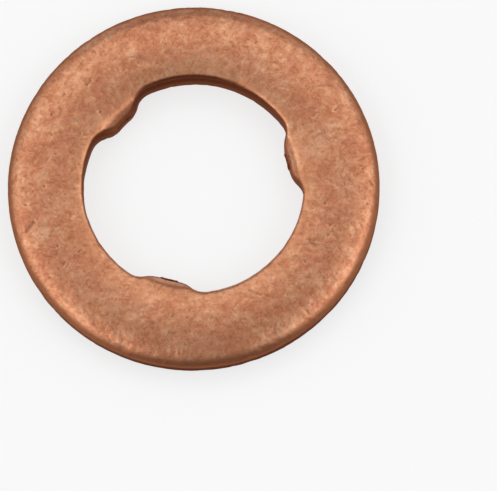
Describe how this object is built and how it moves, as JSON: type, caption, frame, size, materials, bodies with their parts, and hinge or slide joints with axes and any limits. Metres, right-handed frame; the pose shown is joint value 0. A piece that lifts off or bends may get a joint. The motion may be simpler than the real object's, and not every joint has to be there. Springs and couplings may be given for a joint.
{
  "type": "injector heat shield",
  "caption": "Flat stamped copper ring with rolled-over edges and small grip nibs round its bore, which seals a fuel injector's nose against its seat and shields it from heat.",
  "frame": {"origin": "centre of the lower face, on the ring's axis", "axes": "+Z along the ring's axis, out of the upper face, whose edges are the rounder; +X through the middle of one nib"},
  "size_m": [0.015, 0.015, 0.0015],
  "materials": {
    "copper": "soft annealed copper, tumbled to a satin, with fine pits, nicks and a light brown tarnish"
  },
  "bodies": {
    "root": {"heat_shield": "copper"}
  },
  "joints": []
}
